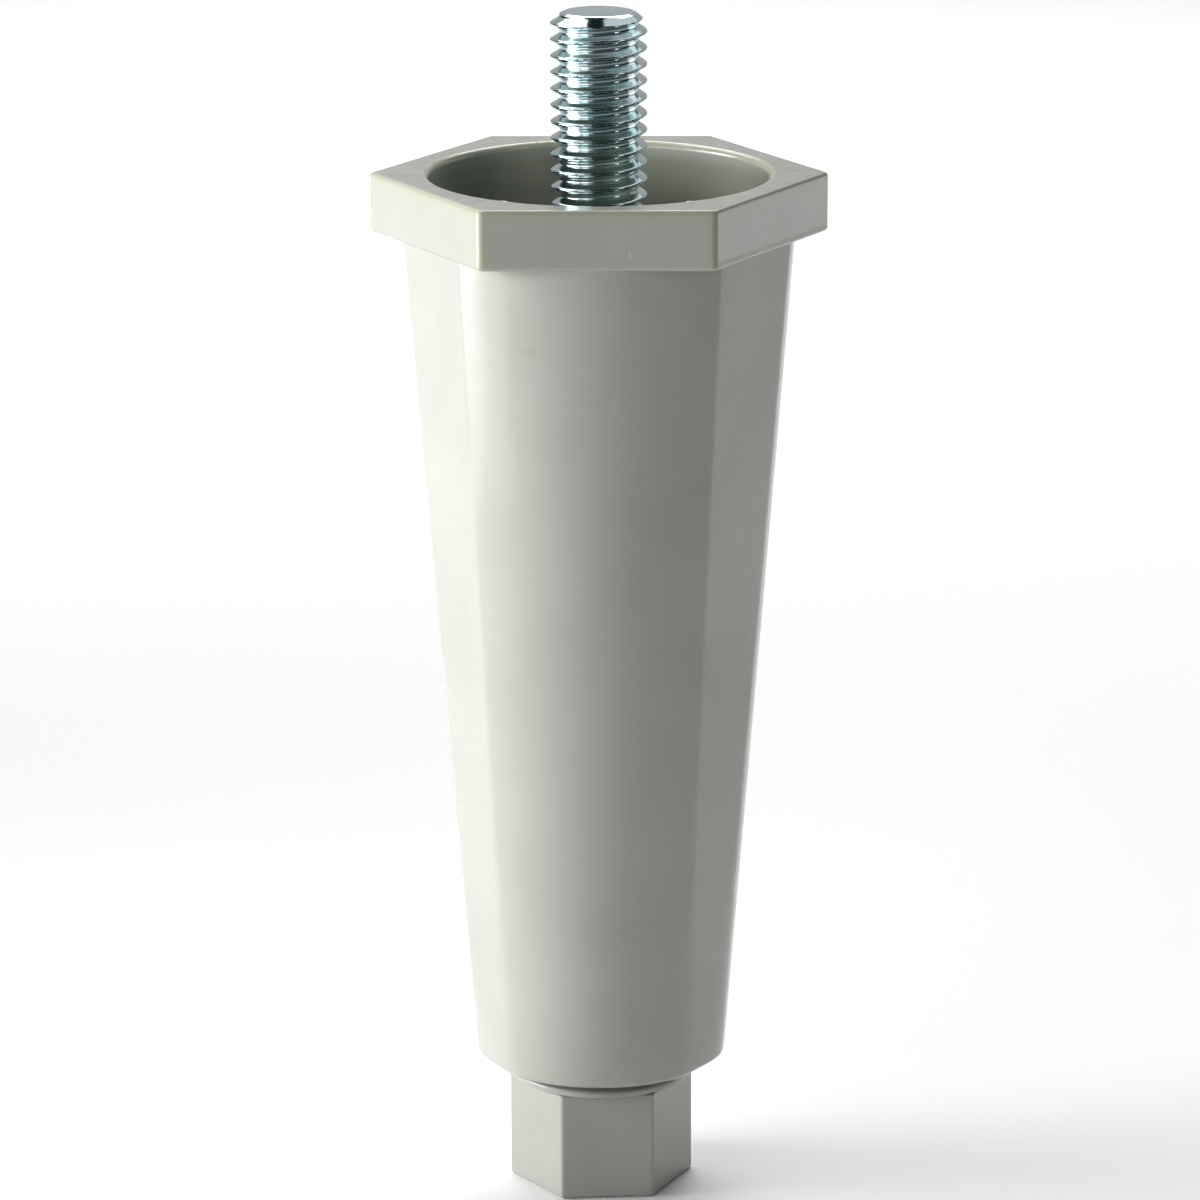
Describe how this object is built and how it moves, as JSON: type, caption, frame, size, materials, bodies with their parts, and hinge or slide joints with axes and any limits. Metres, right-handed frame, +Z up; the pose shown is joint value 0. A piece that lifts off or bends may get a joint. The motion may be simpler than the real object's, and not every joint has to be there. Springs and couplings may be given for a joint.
{
  "type": "adjustable cabinet leg",
  "caption": "Tapered plastic cabinet leg with a hexagonal flange, a threaded mounting stud in its open top, and a hexagonal levelling foot that screws in and out.",
  "frame": {"origin": "on the leg's axis, on the surface the foot stands on, with the foot as far out as in the picture", "axes": "+Z up along the leg and its stud; -Y is the front, which one side of the hexagonal flange faces"},
  "size_m": [0.0442, 0.0384, 0.1182],
  "materials": {
    "grey_plastic": "satin-gloss moulded warm grey",
    "foot_plastic": "satin moulded warm grey",
    "zinc_steel": "bright zinc plate, slightly blue"
  },
  "bodies": {
    "leg": {"leg_body": "grey_plastic", "mounting_stud": "zinc_steel"},
    "washer": {"foot_washer": "foot_plastic"},
    "foot": {"foot": "foot_plastic", "levelling_screw": "zinc_steel"}
  },
  "joints": [
    {"name": "foot_extend", "type": "slide", "parent": "leg", "child": "washer", "axis": [0, 0, -1], "range_m": [-0.00145, 0.0254]},
    {"name": "foot_turn", "type": "hinge", "parent": "washer", "child": "foot", "pos_m": [0, 0, 0], "axis": [0, 0, -1], "range_deg": [-330, 5761]}
  ],
  "couplings": [
    {"joint": "foot_turn", "follows": "foot_extend", "rad_per_m": 3957.9}
  ]
}
